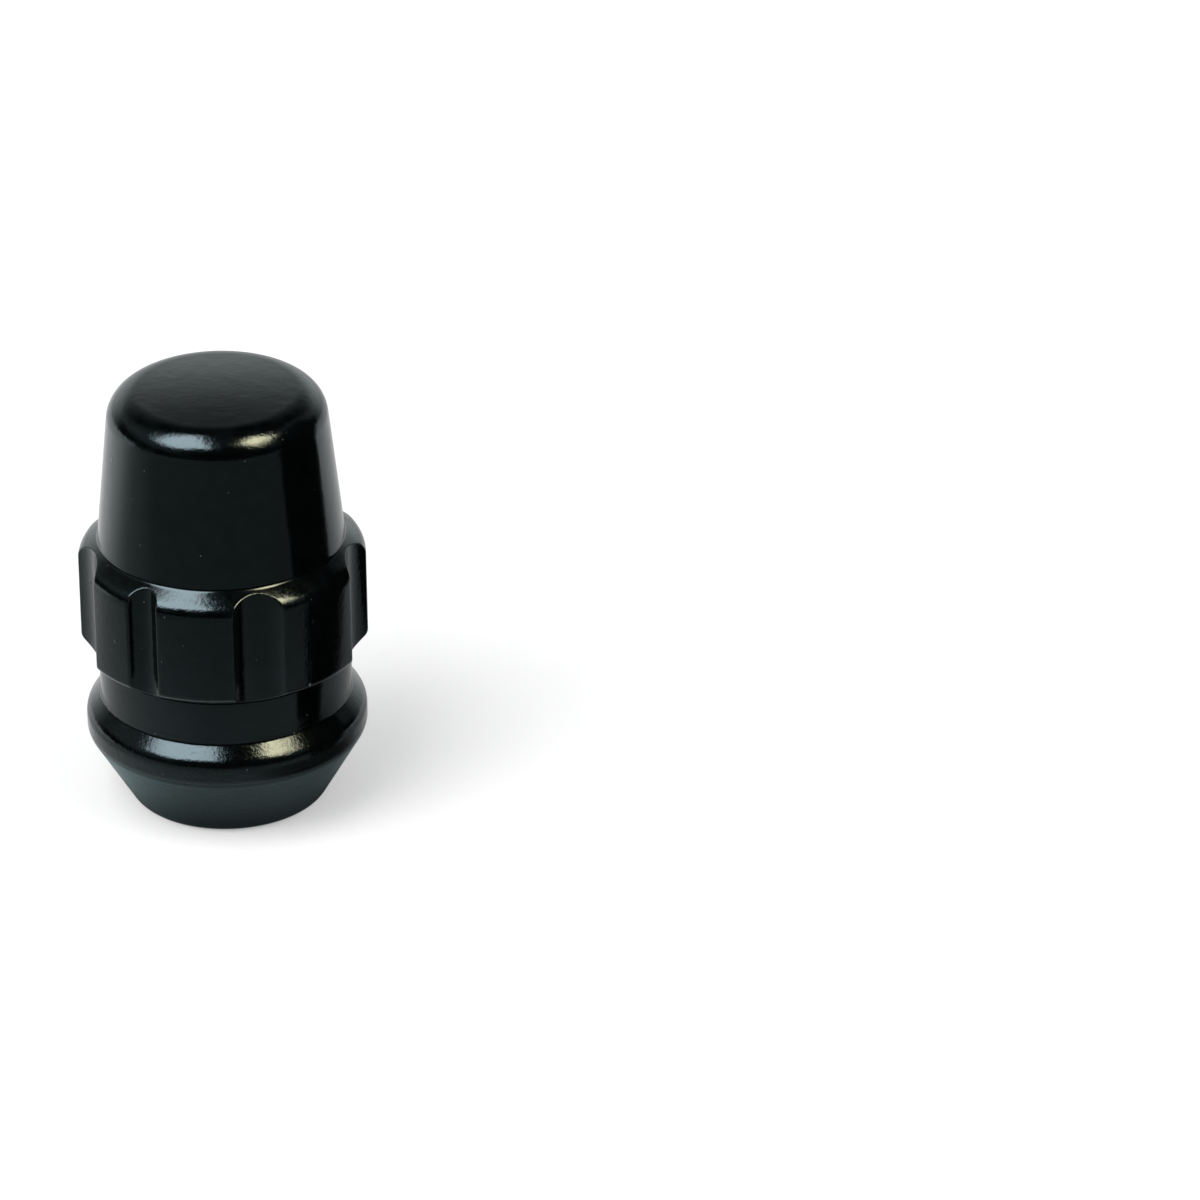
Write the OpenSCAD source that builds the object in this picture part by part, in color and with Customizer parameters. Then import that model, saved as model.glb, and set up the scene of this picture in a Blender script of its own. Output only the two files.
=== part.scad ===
// Locking wheel nut: one forged and turned steel piece that stands on its conical seat.
// Z runs up the nut from the end face to the crown, and the thread opens downwards at Z = 0.
// Azimuths are measured from the front (-Y), positive towards +X.

/* [Overall] */
// Height of the nut from its end face to the top of the crown
overall_h = 35; // [32:0.5:45]

/* [Conical seat] */
// Included angle of the seat
seat_angle = 60; // [50:1:70]
// Diameter at which the seat meets the plane of the end face
end_d = 15.1; // [15:0.1:16.5]
// Radius of the corner between end face and seat
end_corner_r = 1.1; // [0.2:0.1:1.1]

/* [Flange] */
// Diameter of the rim, the widest part of the seat
rim_d = 22; // [21:0.1:24]
// Height of the rim above the seat, measured to the sharp corner
rim_h = 1.65; // [1:0.05:3]
// Radius of the upper corner of the rim
rim_corner_r = 1.5; // [0.2:0.05:1.5]
// Slope of the face that rises from the rim to the neck
flange_slope = 51; // [30:1:60]
// Radius of the hollow between that face and the neck
neck_fillet_r = 0.35; // [0.2:0.05:0.8]

/* [Neck] */
// Diameter of the plain neck
neck_d = 19.7; // [18.5:0.1:20]
// Height of the neck between flange and collar
neck_h = 3.6; // [2:0.05:6]

/* [Coded collar] */
// Diameter over the lobes
collar_d = 22.4; // [22:0.1:24]
// Height of the collar, from the neck to the foot of the cap
collar_h = 9.7; // [7:0.05:12]
// Slope of the lobes' upper shoulder
shoulder_slope = 36; // [25:1:50]
// Radius of the corner between the lobes and their upper shoulder
shoulder_corner_r = 1.5; // [0.3:0.05:2]
// Slope of the lobes' lower chamfer
chamfer_slope = 30; // [20:1:50]
// Radius of the corner between the lobes and their lower chamfer
chamfer_corner_r = 0.6; // [0.3:0.05:1]
// How far the floors of the grooves stand out from the neck, or from the cap if that is wider
floor_step = 0.2; // [0.05:0.01:0.3]
// Angle across a narrow groove
narrow_groove = 13.2; // [9:0.1:17]
// Angle across a middle groove
middle_groove = 21; // [17:0.5:24]
// Angle across a wide groove
wide_groove = 25; // [22:0.5:27]
// Angle across a broad groove
broad_groove = 29; // [24:0.5:32]

/* [Cap] */
// Diameter of the cap where it leaves the collar
cap_base_d = 19.26; // [18:0.02:19.6]
// Diameter of the cap at the level of the crown's edge, measured to the sharp corner
crown_d = 16.7; // [14:0.1:18]
// Radius of the corner between the cap's side and its crown
crown_corner_r = 2.4; // [0.8:0.1:3]
// Rise of the domed crown above its edge
crown_rise = 0.2; // [0.05:0.05:0.8]
// Radius of the hollow where the cap meets the collar
cap_fillet_r = 0.4; // [0.1:0.05:0.5]

/* [Threaded bore] */
// Diameter of the bore, the minor diameter of a half-inch fine thread
thread_minor_d = 11.4; // [10:0.1:12.4]
// Depth of the full bore from the end face
thread_depth = 24; // [18:0.5:25]
// Angle of the drill point that closes the bore
drill_angle = 118; // [90:1:140]
// Diameter of the countersink at the mouth
mouth_d = 13.2; // [12.8:0.1:13.4]
// Included angle of the countersink
mouth_angle = 90; // [60:1:120]

/* [Hidden] */
$fn = 96;
arc_steps = 7;
dome_steps = 6;
cut_over = 0.5;

end_r = end_d / 2;
rim_r = rim_d / 2;
neck_r = neck_d / 2;
collar_r = collar_d / 2;
cap_base_r = cap_base_d / 2;
floor_r = max(neck_r, cap_base_r) + floor_step;
crown_r = crown_d / 2;

// Levels, stacked from the end face upwards
rim_low_z = (rim_r - end_r) / tan(seat_angle / 2);
rim_top_z = rim_low_z + rim_h;
neck_low_z = rim_top_z + (rim_r - neck_r) * tan(flange_slope);
collar_low_z = neck_low_z + neck_h;
lobe_low_z = collar_low_z + (collar_r - neck_r) * tan(chamfer_slope);
collar_top_z = collar_low_z + collar_h;
lobe_top_z = collar_top_z - (collar_r - cap_base_r) * tan(shoulder_slope);
crown_z = overall_h - crown_rise;

// Corners of the turned outline from the end face to the crown: radius, level, corner radius
CORNERS = [
    [end_r, 0, end_corner_r],
    [rim_r, rim_low_z, 0],
    [rim_r, rim_top_z, rim_corner_r],
    [neck_r, neck_low_z, neck_fillet_r],
    [neck_r, collar_low_z, 0],
    [collar_r, lobe_low_z, chamfer_corner_r],
    [collar_r, lobe_top_z, shoulder_corner_r],
    [cap_base_r, collar_top_z, cap_fillet_r],
    [crown_r, crown_z, crown_corner_r]
];

// The code of the collar: azimuth of each groove and the angle across it
GROOVES = [
    [-78, broad_groove],
    [-35, narrow_groove],
    [13.7, middle_groove],
    [74, wide_groove],
    [118, narrow_groove],
    [160, middle_groove],
    [-157, narrow_groove],
    [-122, middle_groove]
];

function level_point(corner) = [corner[0], corner[1]];
function unit(v) = v / norm(v);
function cross_z(a, b) = a[0] * b[1] - a[1] * b[0];

// Points of one corner of the outline, rounded by an arc that touches both of its sides
function rounded(before, corner, after, r) =
    r == 0 ? [corner] :
    let (
        to_before = unit(before - corner),
        to_after = unit(after - corner),
        half_angle = acos(to_before * to_after) / 2,
        centre = corner + unit(to_before + to_after) * r / sin(half_angle),
        sweep = 180 - 2 * half_angle,
        side = sign(cross_z(-to_before, to_after)),
        start = corner + to_before * r / tan(half_angle) - centre,
        first = atan2(start[1], start[0])
    )
    [for (i = [0:arc_steps]) centre + r * [cos(first + side * sweep * i / arc_steps),
                                           sin(first + side * sweep * i / arc_steps)]];

// The whole outer outline, closed along the axis
function outline() =
    let (
        path = concat([[0, 0]], [for (c = CORNERS) level_point(c)], [[0, crown_z]]),
        bends = [for (i = [0:len(CORNERS) - 1])
            each rounded(path[i], path[i + 1], path[i + 2], CORNERS[i][2])],
        edge_r = bends[len(bends) - 1][0],
        dome = [for (i = [1:dome_steps])
            let (r = edge_r * (1 - i / dome_steps)) [r, overall_h - crown_rise * pow(r / edge_r, 2)]]
    )
    concat([[0, 0]], bends, dome);

// Radius of the round cutter that leaves a groove of this angle with its floor at floor_r
function cutter_r(groove_angle) =
    let (
        depth = collar_r * cos(groove_angle / 2) - floor_r,
        half_chord = collar_r * sin(groove_angle / 2)
    )
    (depth * depth + half_chord * half_chord) / (2 * depth);

module turned_blank() {
    rotate_extrude() polygon(outline());
}

// One groove: a round cutter that runs straight down the collar
module groove_cutter(azimuth, groove_angle) {
    r = cutter_r(groove_angle);
    rotate([0, 0, azimuth])
        translate([0, -floor_r - r, collar_low_z])
            cylinder(r = r, h = collar_h + cut_over);
}

module threaded_bore() {
    bore_r = thread_minor_d / 2;
    mouth_depth = (mouth_d - thread_minor_d) / 2 / tan(mouth_angle / 2);
    rotate_extrude() polygon([
        [0, -cut_over],
        [mouth_d / 2, -cut_over],
        [mouth_d / 2, 0],
        [bore_r, mouth_depth],
        [bore_r, thread_depth],
        [0, thread_depth + bore_r / tan(drill_angle / 2)]
    ]);
}

module nut_body() {
    color([0.04, 0.045, 0.05])
        difference() {
            turned_blank();
            for (groove = GROOVES) groove_cutter(groove[0], groove[1]);
            threaded_bore();
        }
}

nut_body();
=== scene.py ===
# %% [markdown]
# # A black locking wheel nut
# This lesson dresses one small steel nut as a photographer would show it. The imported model
# is the fixed frame, in metres. The script makes a finer skin for it, gives the skin its
# finish, and puts paper, lights and a dark room round it, because a gloss black piece is
# drawn almost wholly by what it mirrors.

# %% Load the frame
import math

import bmesh
import bpy
from mathutils import Matrix, Vector


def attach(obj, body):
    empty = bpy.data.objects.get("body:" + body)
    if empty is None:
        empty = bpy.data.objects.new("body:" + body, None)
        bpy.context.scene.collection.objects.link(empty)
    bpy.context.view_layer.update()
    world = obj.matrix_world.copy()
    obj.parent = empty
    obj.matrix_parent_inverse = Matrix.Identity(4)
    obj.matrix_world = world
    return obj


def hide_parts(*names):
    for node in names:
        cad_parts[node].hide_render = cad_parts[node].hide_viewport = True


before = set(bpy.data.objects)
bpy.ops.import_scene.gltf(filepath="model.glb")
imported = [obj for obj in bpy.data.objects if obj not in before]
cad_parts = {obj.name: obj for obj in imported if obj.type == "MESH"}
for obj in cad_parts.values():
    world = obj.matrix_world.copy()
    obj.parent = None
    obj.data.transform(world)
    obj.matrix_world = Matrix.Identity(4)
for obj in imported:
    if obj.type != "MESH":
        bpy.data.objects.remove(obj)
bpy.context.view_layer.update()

MM = 0.001

# %% [markdown]
# ## The camera
# The nut was photographed with a long lens from well above, which keeps its sides nearly
# parallel. A camera could be aimed with a constraint, but three named angles say plainly
# where it looks. It stands on the -Y side, rolls by half a degree, and is panned a little
# to the right, because the nut sits left of the middle of the picture.

# %% Camera
CAMERA_AT = (0.0, -0.53130, 0.29973)
CAMERA_PAN = math.radians(3.166)
CAMERA_PITCH = math.radians(28.127)
CAMERA_ROLL = math.radians(0.508)
CAMERA_LENS, CAMERA_SENSOR = 231.39, 36.0
CAMERA_NEAR = 0.01

forward = Vector((math.sin(CAMERA_PAN) * math.cos(CAMERA_PITCH),
                  math.cos(CAMERA_PAN) * math.cos(CAMERA_PITCH), -math.sin(CAMERA_PITCH)))
level_right = Vector((math.cos(CAMERA_PAN), -math.sin(CAMERA_PAN), 0))
level_up = level_right.cross(forward)
image_x = level_right * math.cos(CAMERA_ROLL) - level_up * math.sin(CAMERA_ROLL)
image_y = level_right * math.sin(CAMERA_ROLL) + level_up * math.cos(CAMERA_ROLL)

camera_data = bpy.data.cameras.new("studio_camera")
camera_data.lens = CAMERA_LENS
camera_data.sensor_width = CAMERA_SENSOR
camera_data.sensor_fit = "AUTO"
camera_data.clip_start = CAMERA_NEAR
camera = bpy.data.objects.new("studio_camera", camera_data)
camera.matrix_world = Matrix.Translation(CAMERA_AT) @ Matrix(
    (image_x, image_y, -forward)).transposed().to_4x4()
bpy.context.scene.collection.objects.link(camera)
bpy.context.scene.camera = camera
print("camera looks along", [round(v, 3) for v in forward])

# %% [markdown]
# ## Sizes of the nut
# A lathe makes the blank of such a nut, from the conical seat at its foot to the domed crown
# on top. The sizes repeat those of the part's source, in millimetres and degrees, and each
# level is stacked on the one below. A named size is easier to correct than a dragged vertex.

# %% Sizes and levels
END_R, RIM_R, NECK_R, COLLAR_R = 7.55, 11.0, 9.85, 11.2
CAP_BASE_R, CROWN_R, MOUTH_R = 9.63, 8.35, 6.6
OVERALL_H, RIM_H, NECK_H, COLLAR_H, CROWN_RISE = 35.0, 1.65, 3.6, 9.7, 0.2
SEAT_HALF_ANGLE, FLANGE_SLOPE, CHAMFER_SLOPE, SHOULDER_SLOPE = 30, 51, 30, 36
FLOOR_STEP = 0.2


def tan_of(degrees):
    return math.tan(math.radians(degrees))


rim_low_z = (RIM_R - END_R) / tan_of(SEAT_HALF_ANGLE)
rim_top_z = rim_low_z + RIM_H
neck_low_z = rim_top_z + (RIM_R - NECK_R) * tan_of(FLANGE_SLOPE)
collar_low_z = neck_low_z + NECK_H
lobe_low_z = collar_low_z + (COLLAR_R - NECK_R) * tan_of(CHAMFER_SLOPE)
collar_top_z = collar_low_z + COLLAR_H
lobe_top_z = collar_top_z - (COLLAR_R - CAP_BASE_R) * tan_of(SHOULDER_SLOPE)
crown_z = OVERALL_H - CROWN_RISE
print("collar from", round(collar_low_z, 2), "to", round(collar_top_z, 2), "mm")

# %% [markdown]
# ## Corners of the outline
# No real edge is sharp, and a gloss finish shows every rounding as a line of light. A Bevel
# modifier would round all edges alike, but here each corner has a radius of its own, so each
# becomes a true arc. The flange lies a hair flatter than in the source, as its highlight asks,
# and the tool has left a fine undercut line where the collar meets the neck.

# %% Corners
FLANGE_EASE = 0.05
UNDERCUT_DEPTH, UNDERCUT_LOW, UNDERCUT_MIDDLE = 0.06, 0.11, 0.05

# Radius, level, corner radius, steps of the arc, and step length up to the next corner
CORNERS = [
    (END_R, 0.0, 1.1, 7, 1.2),
    (RIM_R, rim_low_z, 1.2, 5, 0.6),
    (RIM_R, rim_top_z + FLANGE_EASE, 1.5, 9, 0.5),
    (NECK_R, neck_low_z - FLANGE_EASE, 0.35, 6, 0.8),
    (NECK_R, collar_low_z - UNDERCUT_LOW, 0.02, 2, 0.12),
    (NECK_R - UNDERCUT_DEPTH, collar_low_z - UNDERCUT_MIDDLE, 0.02, 2, 0.12),
    (COLLAR_R, lobe_low_z, 0.6, 7, 0.9),
    (COLLAR_R, lobe_top_z, 1.5, 12, 0.1),
    (CAP_BASE_R, collar_top_z, 0.4, 5, 1.3),
    (CROWN_R, crown_z, 2.4, 14, 1.0),
]


def corner_arc(before, corner, after, radius, steps):
    """Points of an arc that touches both sides of a corner of the outline."""
    to_before, to_after = (before - corner).normalized(), (after - corner).normalized()
    half = to_before.angle(to_after) / 2
    centre = corner + (to_before + to_after).normalized() * radius / math.sin(half)
    first = corner + to_before * radius / math.tan(half) - centre
    last = corner + to_after * radius / math.tan(half) - centre
    turn = first.angle_signed(last)
    points = []
    for i in range(steps + 1):
        angle = -turn * i / steps
        points.append(centre + Vector((first.x * math.cos(angle) - first.y * math.sin(angle),
                                       first.x * math.sin(angle) + first.y * math.cos(angle))))
    return points


print("corners of the outline:", len(CORNERS))

# %% [markdown]
# ## The outline
# Long thin faces beside an arc smear its highlight, so the stretch between two arcs gets one
# row close to each end. The rows between them stand closer where the grooves will be pressed
# in. The crown is a shallow dome, and the foot starts beside the mouth of the bore.

# %% Outline
CLOSE_ROW = 0.1
MOUTH_LAND, FOOT_STEP = 0.15, 0.3
DOME_STEPS = 9


def stretch(start, end, step):
    """Points between two arcs, with one close to each end so that the shading stays crisp."""
    length = (end - start).length
    near = min(CLOSE_ROW, length / 4)
    count = max(1, round((length - 2 * near) / step))
    inner = [near + (length - 2 * near) * i / count for i in range(count + 1)]
    return [start.lerp(end, s / length) for s in inner]


sharp = [Vector((MOUTH_R + MOUTH_LAND, 0.0))] + [Vector(c[:2]) for c in CORNERS]
sharp.append(Vector((0.0, crown_z)))
outline = [sharp[0]]
step_before = FOOT_STEP
for i, (_, _, corner_r, arc_steps, step_after) in enumerate(CORNERS):
    arc = corner_arc(sharp[i], sharp[i + 1], sharp[i + 2], corner_r, arc_steps)
    outline += stretch(outline[-1], arc[0], step_before)
    outline += arc
    step_before = step_after
edge_r = outline[-1].x
for i in range(1, DOME_STEPS + 1):
    r = edge_r * (1 - i / DOME_STEPS)
    outline.append(Vector((r, OVERALL_H - CROWN_RISE * (r / edge_r) ** 2)))
print("outline points:", len(outline), "from", outline[0][:], "to", outline[-1][:])

# %% [markdown]
# ## The code of the collar
# This nut is gripped by round grooves that run down its collar, and their places and widths
# are its code. Booleans could cut them, but they leave ragged faces that a gloss betrays. In
# plan a groove is one arc of a round cutter with a small rounding at each side, where the
# coating is thick, so a line from the axis meets it at one radius. The skin can be pressed
# in to that radius and keep its clean rows.

# %% Section through the collar
FLOOR_R = NECK_R + FLOOR_STEP
GROOVE_EDGE_R = 0.22

# Azimuth of each groove from the front, positive towards +X, and the angle across it
GROOVES = [(-78.0, 29.0), (-35.0, 13.2), (13.7, 21.0), (74.0, 25.0),
           (118.0, 13.2), (160.0, 21.0), (-157.0, 13.2), (-122.0, 21.0)]


def cutter(groove_angle):
    """Radius of the round cutter and distance of its centre from the axis."""
    half = math.radians(groove_angle) / 2
    depth = COLLAR_R * math.cos(half) - FLOOR_R
    chord = COLLAR_R * math.sin(half)
    radius = (depth * depth + chord * chord) / (2 * depth)
    return radius, FLOOR_R + radius


def groove_section(delta, wall_r, groove_angle):
    """Radius of the skin at an angle from a groove's middle, and how much of an edge it is."""
    cut_r, away = cutter(groove_angle)
    if wall_r <= FLOOR_R:
        return wall_r, 0.0
    edge_away = wall_r - GROOVE_EDGE_R
    cosine = (edge_away ** 2 + away ** 2 - (cut_r + GROOVE_EDGE_R) ** 2) / (2 * edge_away * away)
    if cosine >= 1:
        return wall_r, 0.0
    edge_angle = math.acos(cosine)
    delta = abs(delta)
    if delta >= edge_angle:
        return wall_r, 0.0
    edge = Vector((edge_away * math.sin(edge_angle), edge_away * math.cos(edge_angle)))
    middle = Vector((0.0, away))
    touch = middle + (edge - middle).normalized() * cut_r
    if delta <= math.atan2(touch.x, touch.y):
        return away * math.cos(delta) - math.sqrt(
            max(cut_r ** 2 - (away * math.sin(delta)) ** 2, 0.0)), 0.0
    along = edge.dot(Vector((math.sin(delta), math.cos(delta))))
    beside = max(edge.length_squared - along ** 2, 0.0)
    return along + math.sqrt(max(GROOVE_EDGE_R ** 2 - beside, 0.0)), 1.0


def collar_section(azimuth, wall_r):
    """Radius of the collar at any azimuth, for the outline's radius at that level."""
    for groove_azimuth, groove_angle in GROOVES:
        delta = (azimuth - math.radians(groove_azimuth) + math.pi) % (2 * math.pi) - math.pi
        if abs(delta) < math.radians(groove_angle):
            return groove_section(delta, wall_r, groove_angle)
    return wall_r, 0.0


print("cutters in mm:", sorted({round(cutter(angle)[0], 2) for _, angle in GROOVES}))

# %% [markdown]
# ## Columns round the nut
# A skin with even columns would need far too many of them to draw the small roundings. So the
# section is walked once in fine steps, and the columns are dealt out along the walk: close
# together on the rounded edges, wider in the grooves, and widest on the plain lobes.

# %% Columns
FINE_STEPS = 14400
EDGE_STEP, GROOVE_STEP, LOBE_STEP = 0.045, 0.11, 0.42
ON_LOBE = 1e-6

walk, travelled, before = [0.0], 0.0, None
for i in range(FINE_STEPS + 1):
    azimuth = 2 * math.pi * i / FINE_STEPS - math.pi
    radius, on_edge = collar_section(azimuth, COLLAR_R)
    here = Vector((radius * math.sin(azimuth), radius * math.cos(azimuth)))
    if before is not None:
        in_groove = radius < COLLAR_R - ON_LOBE
        spacing = EDGE_STEP if on_edge else GROOVE_STEP if in_groove else LOBE_STEP
        travelled += (here - before).length / spacing
        walk.append(travelled)
    before = here
column_count = math.ceil(travelled)
columns, fine = [], 0
for k in range(column_count):
    while walk[fine + 1] < travelled * k / column_count:
        fine += 1
    part = (travelled * k / column_count - walk[fine]) / (walk[fine + 1] - walk[fine])
    columns.append(2 * math.pi * (fine + part) / FINE_STEPS - math.pi)
print("columns round the nut:", column_count)

# %% [markdown]
# ## The skin
# The outline is spun round the axis like clay on a wheel. The Spin operator takes a chain of
# edges and leaves rows and columns, and use_merge closes the last column on the first. Two
# values will be kept with every vertex for the finish: how much it lies on an edge that
# wears, and whether it belongs to the bore.

# %% Spin the skin
MERGE = 1e-7


def spin_profile(mesh, profile, steps, merge, **way):
    """Sets out a profile of radii and levels in millimetres and spins it once round."""
    spun = [mesh.verts.new((0.0, -r * MM, z * MM)) for r, z in profile]
    chain = [mesh.edges.new(pair) for pair in zip(spun, spun[1:])]
    bmesh.ops.spin(mesh, geom=spun + chain, cent=(0, 0, 0), axis=(0, 0, 1),
                   angle=2 * math.pi, steps=steps, **way)
    bmesh.ops.remove_doubles(mesh, verts=mesh.verts, dist=merge)


skin = bmesh.new()
edge_layer = skin.verts.layers.float.new("worn_edge")
bore_layer = skin.verts.layers.float.new("in_bore")
spin_profile(skin, outline, column_count, MERGE, use_merge=True)
print("skin before the grooves:", len(skin.verts), "vertices")

# %% [markdown]
# Now each column of vertices is turned to its place, and every vertex of the collar is moved
# in to the section at its level. Where the outline is narrower, on the shoulder and on the
# lower chamfer, the same cutter bites less, and this leaves the arch at each groove's end.

# %% Press the grooves
AT_AXIS = 1e-4
WORN_WIDTH = 0.35
WORN_CORNERS = [(RIM_R, rim_low_z), (RIM_R, rim_top_z - 0.25), (END_R, 0.0)]

for v in skin.verts:
    radius, level = math.hypot(v.co.x, v.co.y) / MM, v.co.z / MM
    if radius < AT_AXIS:
        continue
    turned = math.atan2(v.co.x, -v.co.y) % (2 * math.pi)
    azimuth = columns[round(turned / (2 * math.pi) * column_count) % column_count]
    on_edge = 0.0
    if collar_low_z <= level <= collar_top_z:
        radius, on_edge = collar_section(azimuth, radius)
    near_corner = min(math.hypot(radius - r, level - z) for r, z in WORN_CORNERS)
    v[edge_layer] = max(on_edge, 1 - near_corner / WORN_WIDTH)
    v.co = Vector((radius * math.sin(azimuth), -radius * math.cos(azimuth), level)) * MM
print("vertices on worn edges:", sum(1 for v in skin.verts if v[edge_layer] > 0))

# %% [markdown]
# ## The thread
# A half-inch fine thread runs up the bore. A Screw modifier could make it, but the spin
# operator can climb too: the tooth is drawn once, repeated up the bore, and swept round
# while it rises by one pitch a turn, which is how a tap cuts it. Two cuts then level its
# ends, the teeth fade out near the top, and a countersink opens the mouth at 45 degrees.

# %% Thread and countersink
PITCH, MINOR_R, MAJOR_R = 1.27, 5.7, 6.36
BORE_TOP_Z, THREAD_FULL_Z, THREAD_END_Z = 24.0, 20.5, 22.6
TAP_LOW_Z, TAP_HIGH_Z = 0.05, BORE_TOP_Z - 0.1
FIRST_TURN, LAST_TURN, TURN_STEPS = -2, 19, 90
TAP_MERGE = 1e-6

# Height within one pitch, and radius
TOOTH = [(0.0, MINOR_R), (0.30, MINOR_R), (0.34, MINOR_R + 0.03), (0.68, MAJOR_R - 0.02),
         (0.73, MAJOR_R), (0.86, MAJOR_R), (0.91, MAJOR_R - 0.02), (1.24, MINOR_R + 0.03)]

tap = bmesh.new()
teeth = [(r, PITCH * turn + z) for turn in range(FIRST_TURN, LAST_TURN + 1) for z, r in TOOTH]
spin_profile(tap, teeth, TURN_STEPS, TAP_MERGE, dvec=(0, 0, PITCH * MM / TURN_STEPS))
for level, side in ((TAP_LOW_Z, -1), (TAP_HIGH_Z, 1)):
    bmesh.ops.bisect_plane(tap, geom=tap.verts[:] + tap.edges[:] + tap.faces[:], dist=MERGE,
                           plane_co=(0, 0, level * MM), plane_no=(0, 0, side), clear_outer=True)
for v in tap.verts:
    radius, level = math.hypot(v.co.x, v.co.y) / MM, v.co.z / MM
    fade = min(1.0, max(0.0, (THREAD_END_Z - level) / (THREAD_END_Z - THREAD_FULL_Z)))
    shaped = MINOR_R + (radius - MINOR_R) * fade
    shaped = max(shaped, MOUTH_R + TAP_LOW_Z - level)
    v.co.x, v.co.y = v.co.x * shaped / radius, v.co.y * shaped / radius
print("thread:", len(tap.faces), "faces")

# %% [markdown]
# ## The end of the bore
# The drill leaves a blunt cone of 118 degrees over the thread. It is spun as the skin was.
# A narrow ring stays open between the two rims, and triangle_fill closes such a ring without
# a list of faces.

# %% Drill point
DRILL_HALF_ANGLE, DRILL_STEPS = 59, 8
DRILL_EASE, DRILL_LIFT = 0.2, 0.02
RING_LOW_Z, RING_HIGH_Z = BORE_TOP_Z - 0.15, BORE_TOP_Z + 0.05

drill_tan = tan_of(DRILL_HALF_ANGLE)
point = [(MINOR_R * (1 - i / DRILL_STEPS), BORE_TOP_Z + MINOR_R * i / DRILL_STEPS / drill_tan)
         for i in range(DRILL_STEPS + 1)]
point[0] = (MINOR_R - DRILL_EASE, BORE_TOP_Z + DRILL_LIFT)
spin_profile(tap, point, TURN_STEPS, MERGE, use_merge=True)


def close_ring(mesh, low, high):
    """Fills the narrow ring between two open rims that lie between two levels in millimetres."""
    rims = [e for e in mesh.edges if len(e.link_faces) == 1
            and all(low <= v.co.z / MM <= high for v in e.verts)]
    bmesh.ops.triangle_fill(mesh, use_beauty=True, edges=rims, normal=(0, 0, -1))


close_ring(tap, RING_LOW_Z, RING_HIGH_Z)
print("bore with its drill point:", len(tap.faces), "faces")

# %% [markdown]
# ## One closed shell
# The tapped bore joins the skin at the mouth, where a second ring is closed. The normals are
# worked out anew, because a spin can turn them inwards, and the finished shell is measured:
# it may have no open edge, and its volume has to be near that of the solid.

# %% Join skin and bore
IN_BORE_R, IN_BORE_Z = MOUTH_R + 0.08, BORE_TOP_Z + 5
MOUTH_LOW_Z, MOUTH_HIGH_Z = -0.01, 0.06

tap_mesh = bpy.data.meshes.new("tapped_bore")
tap.to_mesh(tap_mesh)
tap.free()
skin.from_mesh(tap_mesh)
bpy.data.meshes.remove(tap_mesh)
for v in skin.verts:
    if math.hypot(v.co.x, v.co.y) < IN_BORE_R * MM and v.co.z < IN_BORE_Z * MM:
        v[bore_layer] = 1.0
close_ring(skin, MOUTH_LOW_Z, MOUTH_HIGH_Z)
bmesh.ops.recalc_face_normals(skin, faces=skin.faces)
for f in skin.faces:
    f.smooth = True
open_edges = sum(1 for e in skin.edges if len(e.link_faces) != 2)
triangles = sum(len(f.verts) - 2 for f in skin.faces)
print("nut:", triangles, "triangles,", open_edges, "open edges, volume mm3",
      round(skin.calc_volume(signed=True) / MM ** 3, 1))

# %% [markdown]
# The skin becomes an object of its own. It rides on the nut's only body, stands for the
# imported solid, and takes its finish from the slot of the black coating.

# %% Hand the skin to the frame
nut_mesh = bpy.data.meshes.new("nut_skin")
skin.to_mesh(nut_mesh)
skin.free()
nut = bpy.data.objects.new("nut_skin", nut_mesh)
bpy.context.scene.collection.objects.link(nut)
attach(nut, "root")
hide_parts("nut_body")
print("skin of the nut:", len(nut_mesh.vertices), "vertices")

# %% [markdown]
# ## Grain of the coating
# The nut wears a thin, very glossy black coating. It isn't flat like glass: it has a faint
# orange peel, a fine grain and small lumps. Three noises of different scale give them, and a
# node group holds them, so that each is set once and other finishes can use it as well.

# %% Group for grain
PLAIN_NOISE, BUSY_NOISE = 0.5, 0.6


def new_group(name, outputs):
    """A node group that takes a place in millimetres and gives values between 0 and 1."""
    group = bpy.data.node_groups.new(name, "ShaderNodeTree")
    group.interface.new_socket("Vector", in_out="INPUT", socket_type="NodeSocketVector")
    for label in outputs:
        group.interface.new_socket(label, in_out="OUTPUT", socket_type="NodeSocketFloat")
    return group, group.nodes.new("NodeGroupInput"), group.nodes.new("NodeGroupOutput")


def noise_node(tree, vector, scale, detail, roughness):
    node = tree.nodes.new("ShaderNodeTexNoise")
    node.inputs["Scale"].default_value = scale
    node.inputs["Detail"].default_value = detail
    node.inputs["Roughness"].default_value = roughness
    tree.links.new(vector, node.inputs["Vector"])
    return node.outputs["Fac"]


grain, grain_in, grain_out = new_group("coating_grain", ["Peel", "Grain", "Lumps"])
for label, scale, detail, roughness in (("Peel", 0.9, 2.0, PLAIN_NOISE),
                                        ("Grain", 11.0, 3.0, BUSY_NOISE),
                                        ("Lumps", 3.2, 3.0, BUSY_NOISE)):
    grain.links.new(noise_node(grain, grain_in.outputs[0], scale, detail, roughness),
                    grain_out.inputs[label])
print("grain group:", len(grain.nodes), "nodes")

# %% [markdown]
# ## Drawn streaks
# Under the coating the steel keeps the marks of its making: upright scratches on the collar,
# where it was broached, and fine rings where it was turned. A noise whose space is stretched
# one way draws both, with a Mapping node before it.

# %% Group for streaks
UPRIGHT_SCALE, ROUND_SCALE = (5, 5, 0.25), (0.06, 0.06, 7)


def stretched(tree, vector, scale):
    node = tree.nodes.new("ShaderNodeMapping")
    node.inputs["Scale"].default_value = scale
    tree.links.new(vector, node.inputs["Vector"])
    return node.outputs["Vector"]


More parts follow.
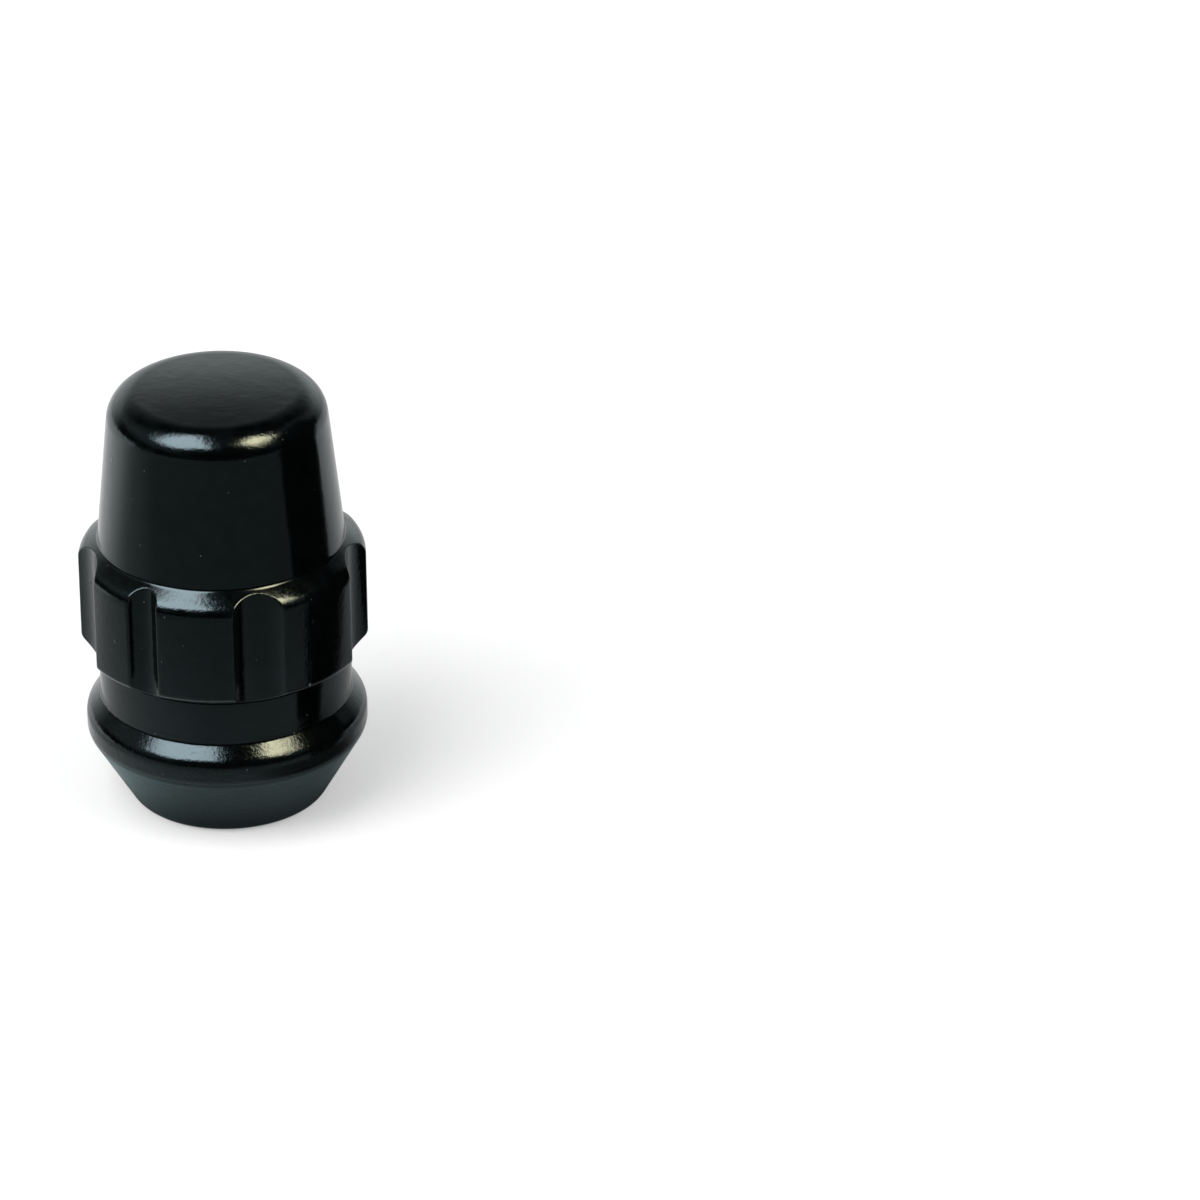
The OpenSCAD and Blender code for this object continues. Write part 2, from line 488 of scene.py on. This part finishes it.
streaks, streaks_in, streaks_out = new_group("drawn_streaks", ["Upright", "Round"])
for label, scale, detail in (("Upright", UPRIGHT_SCALE, 4.0), ("Round", ROUND_SCALE, 3.0)):
    drawn = noise_node(streaks, stretched(streaks, streaks_in.outputs[0], scale),
                       1.0, detail, PLAIN_NOISE)
    streaks.links.new(drawn, streaks_out.inputs[label])
print("streaks group:", len(streaks.nodes), "nodes")

# %% [markdown]
# ## Nibs of dust
# A sprayed or dipped coating always catches some dust. The cells of a Voronoi texture give a
# small spot round each cell's point: rare nibs that stand up a little, and more frequent
# specks that are only lighter. A ramp keeps the middle of each cell and drops the rest.

# %% Group for nibs
NIB_CELLS, NIB_SIZE = 0.33, 0.075
SPECK_CELLS, SPECK_SIZE = 0.8, 0.05
SPOT_CORE = 0.3


def ramp(tree, value, low, high, low_out=0.0, high_out=1.0):
    """A smooth step from one number to another, between two limits of a value."""
    node = tree.nodes.new("ShaderNodeMapRange")
    node.interpolation_type = "SMOOTHSTEP"
    for label, number in (("From Min", low), ("From Max", high),
                          ("To Min", low_out), ("To Max", high_out)):
        node.inputs[label].default_value = number
    tree.links.new(value, node.inputs["Value"])
    return node.outputs["Result"]


nibs, nibs_in, nibs_out = new_group("dust_nibs", ["Nib", "Speck"])
for label, scale, size in (("Nib", NIB_CELLS, NIB_SIZE), ("Speck", SPECK_CELLS, SPECK_SIZE)):
    cells = nibs.nodes.new("ShaderNodeTexVoronoi")
    cells.inputs["Scale"].default_value = scale
    nibs.links.new(nibs_in.outputs[0], cells.inputs["Vector"])
    nibs.links.new(ramp(nibs, cells.outputs["Distance"], size * SPOT_CORE, size, 1.0, 0.0),
                   nibs_out.inputs[label])
print("nibs group:", len(nibs.nodes), "nodes")

# %% [markdown]
# ## The coating's shader
# One Principled shader carries the whole finish: a black base whose gloss has a cold tint,
# under a thin, sharper clear coat. Values that are the same all over the nut are set on the
# shader's own sockets. The patterns read Object coordinates in millimetres, so they stay on
# the nut wherever it is moved.

# %% Coating
coating = bpy.data.materials.new("black_coating")
coating.use_nodes = True
tree = coating.node_tree
tree.nodes.clear()
surface = tree.nodes.new("ShaderNodeBsdfPrincipled")
output = tree.nodes.new("ShaderNodeOutputMaterial")
tree.links.new(surface.outputs["BSDF"], output.inputs["Surface"])
for label, value in (("IOR", 1.5), ("Specular Tint", (0.63, 0.96, 1.0, 1)),
                     ("Coat Roughness", 0.06), ("Coat IOR", 1.5)):
    surface.inputs[label].default_value = value

place = tree.nodes.new("ShaderNodeTexCoord")
in_mm = stretched(tree, place.outputs["Object"], (1 / MM, 1 / MM, 1 / MM))


def use_group(group):
    """Places a group in the coating's tree and gives its outputs."""
    node = tree.nodes.new("ShaderNodeGroup")
    node.node_tree = group
    tree.links.new(in_mm, node.inputs["Vector"])
    return node.outputs


grain_of, streaks_of, nibs_of = use_group(grain), use_group(streaks), use_group(nibs)
print("groups in the coating:", grain.name, streaks.name, nibs.name)

# %% [markdown]
# ## Zones of the nut
# The seat is duller than the rest, the bore is plain oiled steel, and the machined marks show
# on the collar, the flange and the crown's edge. Each zone is a mask between 0 and 1. Most
# come from the height on the nut, and the bore and the worn edges from the values kept in
# the mesh, which an Attribute node reads.

# %% Zones
# Each pair gives the levels between which a zone begins or ends
SEAT_ENDS = (rim_low_z - 0.05, rim_low_z + 0.12)
FLANGE_ENDS = (neck_low_z + 0.2, neck_low_z + 0.6)
COLLAR_BEGINS, COLLAR_ENDS = (collar_low_z + 0.3, collar_low_z + 0.9), (collar_top_z - 0.5, collar_top_z)
CROWN_BEGINS, CROWN_ENDS = (OVERALL_H - 2.6, OVERALL_H - 2.0), (OVERALL_H - 0.45, OVERALL_H - 0.2)
LEFT_ON_CROWN = 0.1


def put(tree, value, socket):
    """Sets a number or colour on a socket, or links another node's output to it."""
    if isinstance(value, (int, float, tuple)):
        socket.default_value = value
    else:
        tree.links.new(value, socket)


def math_node(tree, operation, first, second, clamp=False):
    node = tree.nodes.new("ShaderNodeMath")
    node.operation, node.use_clamp = operation, clamp
    put(tree, first, node.inputs[0])
    put(tree, second, node.inputs[1])
    return node.outputs[0]


def times(tree, first, second):
    return math_node(tree, "MULTIPLY", first, second)


def minus(tree, first, second, clamp=False):
    return math_node(tree, "SUBTRACT", first, second, clamp)


def total(tree, first, *others, clamp=False):
    """Adds up several values, and holds the sum between 0 and 1 where clamp is set."""
    for value in others[:-1]:
        first = math_node(tree, "ADD", first, value)
    return math_node(tree, "ADD", first, others[-1], clamp)


def kept(name):
    """Reads a value that the mesh keeps with its vertices."""
    node = tree.nodes.new("ShaderNodeAttribute")
    node.attribute_name = name
    return node.outputs["Fac"]


split = tree.nodes.new("ShaderNodeSeparateXYZ")
tree.links.new(in_mm, split.inputs["Vector"])
height = split.outputs["Z"]
seat = ramp(tree, height, *SEAT_ENDS, 1.0, 0.0)
on_collar = times(tree, ramp(tree, height, *COLLAR_BEGINS),
                  ramp(tree, height, *COLLAR_ENDS, 1.0, 0.0))
below_neck = ramp(tree, height, *FLANGE_ENDS, 1.0, 0.0)
crown_edge = times(tree, ramp(tree, height, *CROWN_BEGINS),
                   ramp(tree, height, *CROWN_ENDS, 1.0, LEFT_ON_CROWN))
worked = total(tree, on_collar, below_neck, crown_edge, clamp=True)
edge, bore = kept("worn_edge"), kept("in_bore")
print("the seat's zone ends at", round(rim_low_z, 2), "mm")

# %% [markdown]
# ## Gloss
# How sharp a mirrored light looks is the finish's best mark. The gloss is a little uneven
# from the grain, and streaky on the collar. The seat and the bore are rougher and have no
# clear coat. Metal mirrors in its own colour, so a metal share lets the bore shine in the grey
# of its steel, while on the black of the seat it only takes gloss away.

# %% Roughness, coat and metal
GLOSS_ROUGHNESS, SEAT_DULLER, BORE_DULLER = 0.125, 0.19, 0.15
GRAIN_IN_GLOSS, STREAKS_IN_GLOSS, NOISE_MIDDLE = 0.12, 0.25, 0.5
COAT_WEIGHT = 0.15
BORE_METAL, SEAT_METAL = 0.85, 0.46

uneven = times(tree, minus(tree, grain_of["Grain"], NOISE_MIDDLE), GRAIN_IN_GLOSS)
streaky = times(tree, minus(tree, streaks_of["Upright"], NOISE_MIDDLE),
                times(tree, on_collar, STREAKS_IN_GLOSS))
roughness = total(tree, GLOSS_ROUGHNESS, times(tree, seat, SEAT_DULLER), uneven, streaky,
                  times(tree, bore, BORE_DULLER), clamp=True)
tree.links.new(roughness, surface.inputs["Roughness"])

coat = minus(tree, COAT_WEIGHT, times(tree, seat, COAT_WEIGHT))
coat = minus(tree, coat, times(tree, bore, COAT_WEIGHT), clamp=True)
tree.links.new(coat, surface.inputs["Coat Weight"])

metal = total(tree, times(tree, bore, BORE_METAL), times(tree, seat, SEAT_METAL), clamp=True)
tree.links.new(metal, surface.inputs["Metallic"])
print("roughness of the gloss:", GLOSS_ROUGHNESS, "and of the seat:",
      round(GLOSS_ROUGHNESS + SEAT_DULLER, 3))

# %% [markdown]
# ## Grains of dust that can be seen
# A few grains are large enough to catch the light by themselves. A random texture would put
# them anywhere, so each has its place: a Distance node measures how far a point lies from
# the grain, and a ramp turns that into a round spot.

# %% Dust in its place
# Azimuth in degrees, then radius, level and size in millimetres
DUST = [(-52.0, 10.6, 21.4, 0.17), (61.0, 10.9, 21.0, 0.09), (-12.0, 8.9, 32.0, 0.15),
        (35.0, 11.0, 13.7, 0.24), (27.0, 10.2, 13.0, 0.13), (-9.0, 8.2, 34.0, 0.14),
        (-2.0, 10.6, 13.2, 0.13), (48.0, 11.1, 16.5, 0.10), (-20.0, 11.1, 18.0, 0.10)]
DUST_CORE = 0.25

dust = 0.0
for dust_azimuth, dust_r, dust_z, dust_size in DUST:
    gap = tree.nodes.new("ShaderNodeVectorMath")
    gap.operation = "DISTANCE"
    turn = math.radians(dust_azimuth)
    gap.inputs[1].default_value = (dust_r * math.sin(turn), -dust_r * math.cos(turn), dust_z)
    tree.links.new(in_mm, gap.inputs[0])
    spot = ramp(tree, gap.outputs["Value"], dust_size * DUST_CORE, dust_size, 1.0, 0.0)
    dust = math_node(tree, "MAXIMUM", dust, spot)
print("grains of dust:", len(DUST))

# %% [markdown]
# ## Colour
# The coating itself is almost without colour, black with a trace of blue, and nearly all
# that is seen of it is gloss. The seat is a shade lighter, worn edges and dust are grey, and
# the bore is bare steel. Mix nodes lay these over each other, each through its own mask.

# %% Base colour
BLACK, BLUE_BLACK = (0.0002, 0.0003, 0.0003, 1), (0.0005, 0.0008, 0.0009, 1)
SEAT_BLACK, WORN_GREY = (0.0013, 0.0016, 0.0017, 1), (0.05, 0.052, 0.055, 1)
SPECK_GREY, DUST_GREY = (0.16, 0.16, 0.155, 1), (0.55, 0.56, 0.54, 1)
BORE_STEEL = (0.10, 0.095, 0.09, 1)
WEAR_SHARE, SPECK_SHARE, DUST_SHARE = 0.2, 0.35, 0.8
WORN_GRAIN, BLUE_PEEL = (0.52, 0.78), (0.3, 0.7)


def mix_colour(tree, factor, first, second):
    node = tree.nodes.new("ShaderNodeMix")
    node.data_type = "RGBA"
    tree.links.new(factor, node.inputs["Factor"])
    put(tree, first, node.inputs[6])
    put(tree, second, node.inputs[7])
    return node.outputs[2]


worn = times(tree, edge, ramp(tree, grain_of["Grain"], *WORN_GRAIN, 0.0, WEAR_SHARE))
colour = mix_colour(tree, ramp(tree, grain_of["Peel"], *BLUE_PEEL), BLACK, BLUE_BLACK)
colour = mix_colour(tree, seat, colour, SEAT_BLACK)
colour = mix_colour(tree, worn, colour, WORN_GREY)
colour = mix_colour(tree, times(tree, nibs_of["Speck"], SPECK_SHARE), colour, SPECK_GREY)
colour = mix_colour(tree, times(tree, dust, DUST_SHARE), colour, DUST_GREY)
colour = mix_colour(tree, bore, colour, BORE_STEEL)
tree.links.new(colour, surface.inputs["Base Color"])
print("nodes in the coating so far:", len(tree.nodes))

# %% [markdown]
# ## Relief
# Peel, grain, streaks, lumps and dust are far too fine for the mesh. One Bump node takes
# their sum as a height in millimetres. The machined zones get more of the rings and lumps,
# which breaks up the edges of the highlights there as in the photograph.

# %% Bump of the coating
PEEL_H, GRAIN_H, NIB_H, DUST_H = 0.014, 0.0011, 0.03, 0.05
ROUND_H, ROUND_WORKED_H, UPRIGHT_H = 0.0022, 0.004, 0.006
LUMPS_H, LUMPS_WORKED_H = 0.0015, 0.020

rings_h = total(tree, ROUND_H, times(tree, worked, ROUND_WORKED_H))
lumps_h = total(tree, LUMPS_H, times(tree, worked, LUMPS_WORKED_H))
relief = total(tree, times(tree, grain_of["Peel"], PEEL_H),
               times(tree, grain_of["Grain"], GRAIN_H),
               times(tree, streaks_of["Round"], rings_h),
               times(tree, streaks_of["Upright"], times(tree, on_collar, UPRIGHT_H)),
               times(tree, nibs_of["Nib"], NIB_H),
               times(tree, dust, DUST_H),
               times(tree, grain_of["Lumps"], lumps_h))
bump = tree.nodes.new("ShaderNodeBump")
bump.inputs["Distance"].default_value = MM
bump.inputs["Strength"].default_value = 1.0
tree.links.new(relief, bump.inputs["Height"])
tree.links.new(bump.outputs["Normal"], surface.inputs["Normal"])
nut_mesh.materials.append(coating)
print("coating nodes:", len(tree.nodes))

# %% [markdown]
# ## Pale paper
# The nut stands on white paper, which a large flat grid stands for. Lights alone would have
# to be so strong that the gloss burns out, so the paper also glows a little by itself.

# %% Floor
PAPER_SIDE = 4.0
GRID_CELLS, GRID_HALF = 8, 0.5


def flat_piece(name, width, depth):
    """A flat grid round the origin that belongs to the studio and not to the nut.

    create_grid reaches its size each way, so a size of one half gives one metre across."""
    mesh = bmesh.new()
    bmesh.ops.create_grid(mesh, x_segments=GRID_CELLS, y_segments=GRID_CELLS, size=GRID_HALF)
    for v in mesh.verts:
        v.co = Vector((v.co.x * width, v.co.y * depth, 0))
    data = bpy.data.meshes.new(name)
    mesh.to_mesh(data)
    mesh.free()
    piece = bpy.data.objects.new(name, data)
    bpy.context.scene.collection.objects.link(piece)
    return piece


def grey(value):
    return (value, value, value, 1)


floor = flat_piece("studio_floor", PAPER_SIDE, PAPER_SIDE)
paper = bpy.data.materials.new("studio_paper")
paper.use_nodes = True
floor.data.materials.append(paper)
paper_tree = paper.node_tree
paper_surface = paper_tree.nodes["Principled BSDF"]
paper_surface.inputs["Roughness"].default_value = 0.9
paper_surface.inputs["Specular IOR Level"].default_value = 0.1
paper_surface.inputs["Emission Color"].default_value = grey(1)
print("paper:", PAPER_SIDE, "m square")

# %% [markdown]
# ## What the gloss sees of the paper
# In the photograph the lower parts of the nut mirror a paper that darkens near the foot and
# again further out, with a brighter band between. Real paper under real lights does so by
# itself, but it takes a whole studio to build. Here a colour ramp over the distance from the
# nut says how light the paper is for glossy rays, and three soft patches correct it at the
# back, at the left and close at the right. The Light Path node keeps it all from the camera.

# %% Paper by distance and by kind of ray
PAPER_GREY, PAPER_GLOW = 0.26, 0.37

# The shares are painted shade and light for the gloss: painted contact shade near the foot, a lit band,
# and painted shade further out.
# Share of the paper's lightness, by distance as a share of FAR_FLOOR in metres
FAR_FLOOR = 0.06
FIRST_SHARE, LAST_SHARE = 0.25, 0.10
SHARES = ((0.13, 0.25), (0.175, 0.75), (0.24, 0.65), (0.40, 0.22), (0.67, 0.14))

# The patches are painted light at the back and at the left, and a painted shadow close at the right.
# Each pair gives the positions in metres between which a patch begins or ends
BACK_PAINTED_LIGHT, BACK_Y = 0.55, (-0.005, 0.045)
LEFT_PAINTED_LIGHT, LEFT_X, LEFT_Y = 0.14, (-0.020, -0.002), (-0.05, 0.0)
RIGHT_SHADOW_DEPTH, RIGHT_X, RIGHT_Y, RIGHT_FAR = 0.42, (0.003, 0.014), (-0.004, 0.008), (0.018, 0.028)

where = paper_tree.nodes.new("ShaderNodeTexCoord")
parts = paper_tree.nodes.new("ShaderNodeSeparateXYZ")
paper_tree.links.new(where.outputs["Object"], parts.inputs["Vector"])
paper_x, paper_y = parts.outputs["X"], parts.outputs["Y"]
level_place = paper_tree.nodes.new("ShaderNodeVectorMath")
level_place.operation = "MULTIPLY"
level_place.inputs[1].default_value = (1, 1, 0)
paper_tree.links.new(where.outputs["Object"], level_place.inputs[0])
from_axis = paper_tree.nodes.new("ShaderNodeVectorMath")
from_axis.operation = "LENGTH"
paper_tree.links.new(level_place.outputs["Vector"], from_axis.inputs[0])
distance = from_axis.outputs["Value"]

painted_falloff = paper_tree.nodes.new("ShaderNodeValToRGB")
for stop, share in SHARES:
    painted_falloff.color_ramp.elements.new(stop).color = grey(share)
painted_falloff.color_ramp.elements[0].color = grey(FIRST_SHARE)
painted_falloff.color_ramp.elements[-1].color = grey(LAST_SHARE)
paper_tree.links.new(math_node(paper_tree, "DIVIDE", distance, FAR_FLOOR), painted_falloff.inputs["Fac"])

painted_back_light = ramp(paper_tree, paper_y, *BACK_Y, 0.0, BACK_PAINTED_LIGHT)
painted_left_light = times(paper_tree, ramp(paper_tree, paper_x, *LEFT_X, LEFT_PAINTED_LIGHT, 0.0),
                ramp(paper_tree, paper_y, *LEFT_Y))
# Painted shadow on the paper close at the right, seen only in the gloss.
painted_shadow_right = times(paper_tree, ramp(paper_tree, paper_x, *RIGHT_X, 0.0, RIGHT_SHADOW_DEPTH),
                   ramp(paper_tree, paper_y, *RIGHT_Y, 1.0, 0.0))
painted_shadow_right = times(paper_tree, painted_shadow_right, ramp(paper_tree, distance, *RIGHT_FAR, 1.0, 0.0))
seen = minus(paper_tree, total(paper_tree, painted_falloff.outputs["Color"], painted_back_light), painted_shadow_right)
seen = total(paper_tree, seen, painted_left_light, clamp=True)

rays = paper_tree.nodes.new("ShaderNodeLightPath")
# Painted shade: for glossy rays the paper's colour and glow darken where the painted lightness is low.
shade = times(paper_tree, minus(paper_tree, 1.0, seen), rays.outputs["Is Glossy Ray"])
paper_tree.links.new(mix_colour(paper_tree, shade, grey(PAPER_GREY), grey(0.0)),
                     paper_surface.inputs["Base Color"])
paper_tree.links.new(times(paper_tree, minus(paper_tree, 1.0, shade), PAPER_GLOW),
                     paper_surface.inputs["Emission Strength"])
print("paper nodes:", len(paper_tree.nodes))

# %% [markdown]
# ## Softboxes
# A black gloss shows little but its lights, here a cool softbox at the left and a warm one at
# the right, with a dark gap between. No softbox is evenly bright: it is hot in the middle and
# fades at its edges, and an area light's own nodes can draw that by position. The tinted face
# is seen only in the gloss. A white twin at the same place lights only the paper, so that the
# warm light doesn't colour it and each can have the power it needs.

# %% Softboxes
SOFTBOX_Z = 0.6


def softbox(name, low, high, left, right, back, front, back_slant, front_slant,
            colour, in_gloss, on_paper):
    """Hangs an area light and its twin, level, between two corners in metres.

    Each edge is a ramp: two positions and the brightness at each. The slants turn the back
    and front edges. The last two values are the watts of the tinted face and of its twin."""
    data = bpy.data.lights.new(name, "AREA")
    data.shape = "RECTANGLE"
    data.size, data.size_y = high[0] - low[0], high[1] - low[1]
    data.energy, data.color = in_gloss, colour
    data.use_nodes = True
    lamp_tree = data.node_tree
    spot = lamp_tree.nodes.new("ShaderNodeNewGeometry")
    lengths = lamp_tree.nodes.new("ShaderNodeSeparateXYZ")
    lamp_tree.links.new(spot.outputs["Position"], lengths.inputs["Vector"])
    across, along = lengths.outputs["X"], lengths.outputs["Y"]

    bright = times(lamp_tree, ramp(lamp_tree, across, *left), ramp(lamp_tree, across, *right))
    for slant, fade in ((back_slant, back), (front_slant, front)):
        slanted = total(lamp_tree, along, times(lamp_tree, across, slant))
        bright = times(lamp_tree, bright, ramp(lamp_tree, slanted, *fade))
    lamp_tree.links.new(bright, lamp_tree.nodes["Emission"].inputs["Strength"])

    twin = data.copy()
    twin.energy, twin.color = on_paper, (1.0, 1.0, 1.0)
    for label, lamp_data, glossy in ((name, data, True), (name + "_on_paper", twin, False)):
        lamp = bpy.data.objects.new(label, lamp_data)
        lamp.location = ((low[0] + high[0]) / 2, (low[1] + high[1]) / 2, SOFTBOX_Z)
        lamp.visible_glossy, lamp.visible_diffuse = glossy, not glossy
        bpy.context.scene.collection.objects.link(lamp)
    print(name, "measures", round(data.size, 2), "by", round(data.size_y, 2), "m")


softbox("softbox_left", low=(-0.80, -0.74), high=(-0.03, 0.10),
        left=(-0.80, -0.55, 0.6, 1.0), right=(-0.13, -0.07, 1.0, 0.0),
        back=(0.04, 0.22, 1.0, 0.0), front=(-0.68, -0.44, 0.0, 1.0),
        back_slant=-0.4, front_slant=0.0,
        colour=(1.0, 0.93, 0.99), in_gloss=18.0, on_paper=52.0)
softbox("softbox_right", low=(0.12, -0.66), high=(0.75, 0.02),
        left=(0.17, 0.27, 0.0, 1.0), right=(0.36, 0.66, 1.0, 0.25),
        back=(-0.07, -0.01, 1.0, 0.0), front=(-0.24, -0.11, 0.0, 1.0),
        back_slant=0.2, front_slant=0.8,
        colour=(1.0, 0.71, 0.47), in_gloss=28.0, on_paper=16.0)

# %% [markdown]
# ## The black flag
# A photographer sets black cloth beside a glossy piece to give its flank a sharp dark edge.
# The flag is an upright sheet close to the right of the nut, with a far edge that leans back.
# It is seen only in the gloss: it hides from the camera, throws no shadow and takes no light
# from the paper.

# %% Black flag
FLAG_X, FLAG_NEAR_Y, FLAG_H = 0.022, -0.0155, 0.05
FLAG_FOOT_Y, FLAG_LEAN, FLAG_FAR_Y = -0.0065, 0.45, 0.0035
FELT_BLACK = 0.001

flag = flat_piece("black_flag", 1.0, 1.0)
for v in flag.data.vertices:
    across, up = v.co.x + GRID_HALF, (v.co.y + GRID_HALF) * FLAG_H
    far_y = min(FLAG_FAR_Y, FLAG_FOOT_Y + FLAG_LEAN * up)
    v.co = (FLAG_X, FLAG_NEAR_Y + across * (far_y - FLAG_NEAR_Y), up)
flag.visible_camera = flag.visible_shadow = flag.visible_diffuse = False

felt = bpy.data.materials.new("black_felt")
felt.use_nodes = True
felt_surface = felt.node_tree.nodes["Principled BSDF"]
felt_surface.inputs["Base Color"].default_value = grey(FELT_BLACK)
felt_surface.inputs["Specular IOR Level"].default_value = 0.0
felt_surface.inputs["Roughness"].default_value = 1.0
flag.data.materials.append(felt)
print("flag reaches", [round(v / MM, 1) for v in flag.data.vertices[-1].co], "mm")

# %% [markdown]
# ## Surroundings
# The world is the room that the gloss sees past the lights: dark, with a pale wall low behind
# the nut, faint walls at both sides, and next to nothing in front. It is drawn over the
# direction of a ray, without any picture. Diffuse rays meet an even white, which fills the
# shadows on the paper, and the camera sees white past the paper's end.

# %% World
WALL_GLOW, SIDE_GLOW, ROOM_DARK = 0.95, 0.2, 0.001
ROOM_COLOUR = (0.97, 1.0, 1.0, 1)

# Parts of a ray's direction between which each wall begins or ends, and what is left past it
BEHIND_Y = (0.45, 0.98)
LOW_WALL_Z, LEFT_PAST_LOW = (0.28, 0.56), 0.16
HIGH_WALL_Z, LEFT_PAST_HIGH = (0.60, 0.90), 0.2
ASIDE_X, SIDE_Z = (0.50, 0.85), (0.20, 0.45)

world = bpy.data.worlds.new("studio_world")
world.use_nodes = True
bpy.context.scene.world = world
world_tree = world.node_tree
world_tree.nodes.clear()
look = world_tree.nodes.new("ShaderNodeTexCoord")
ways = world_tree.nodes.new("ShaderNodeSeparateXYZ")
world_tree.links.new(look.outputs["Generated"], ways.inputs["Vector"])
way_x, way_y, way_z = ways.outputs["X"], ways.outputs["Y"], ways.outputs["Z"]

behind = ramp(world_tree, way_y, *BEHIND_Y)
low_wall = ramp(world_tree, way_z, *LOW_WALL_Z, 1.0, LEFT_PAST_LOW)
high_wall = ramp(world_tree, way_z, *HIGH_WALL_Z, 1.0, LEFT_PAST_HIGH)
wall = times(world_tree, behind, times(world_tree, low_wall, high_wall))
aside = math_node(world_tree, "ABSOLUTE", way_x, 0.0)
side_walls = times(world_tree, ramp(world_tree, aside, *ASIDE_X),
                   ramp(world_tree, way_z, *SIDE_Z, 0.0, SIDE_GLOW))

ray_kind = world_tree.nodes.new("ShaderNodeLightPath")
room_light = total(world_tree, times(world_tree, wall, WALL_GLOW),
                   ray_kind.outputs["Is Diffuse Ray"], side_walls, ROOM_DARK)
room = world_tree.nodes.new("ShaderNodeBackground")
room.inputs["Color"].default_value = ROOM_COLOUR
world_tree.links.new(room_light, room.inputs["Strength"])
pale = world_tree.nodes.new("ShaderNodeBackground")
pale.inputs["Color"].default_value = grey(1)
choice = world_tree.nodes.new("ShaderNodeMixShader")
world_tree.links.new(ray_kind.outputs["Is Camera Ray"], choice.inputs["Fac"])
world_tree.links.new(room.outputs[0], choice.inputs[1])
world_tree.links.new(pale.outputs[0], choice.inputs[2])
world_out = world_tree.nodes.new("ShaderNodeOutputWorld")
world_tree.links.new(choice.outputs[0], world_out.inputs["Surface"])
print("world nodes:", len(world_tree.nodes))

# %% [markdown]
# ## Whites
# Blender's usual view transform holds bright tones back, so white paper comes out grey. A
# picture of goods on white keeps its whites, and the Standard transform does that.

# %% View transform
bpy.context.scene.view_settings.view_transform = "Standard"
print("view transform:", bpy.context.scene.view_settings.view_transform)
